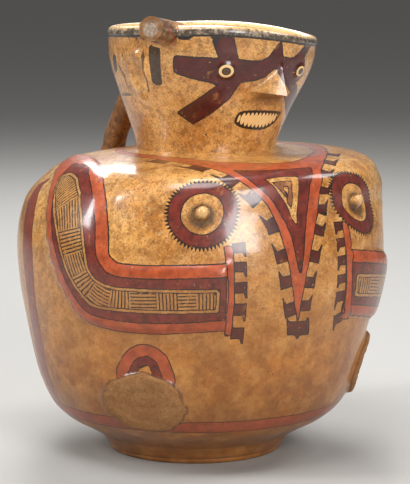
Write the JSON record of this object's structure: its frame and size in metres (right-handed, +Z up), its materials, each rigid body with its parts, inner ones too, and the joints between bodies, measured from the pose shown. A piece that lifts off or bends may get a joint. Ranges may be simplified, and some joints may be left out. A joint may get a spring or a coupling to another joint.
{
  "type": "anthropomorphic vase",
  "caption": "Painted clay jar in the shape of a seated figure: head as the neck, rolled rim, rod handle behind, arms in low relief and broken leg stumps.",
  "frame": {"origin": "centre of the flat underside of the foot", "axes": "+Z up out of the mouth, the face looks toward -Y, and the figure's right side is toward -X"},
  "size_m": [0.2599, 0.2568, 0.3067],
  "materials": {
    "painted_clay": "golden cream slip with orange, dark red and black painting, burnished to a soft gloss and worn at the rim and foot"
  },
  "bodies": {
    "root": {"vase": "painted_clay"}
  },
  "joints": []
}
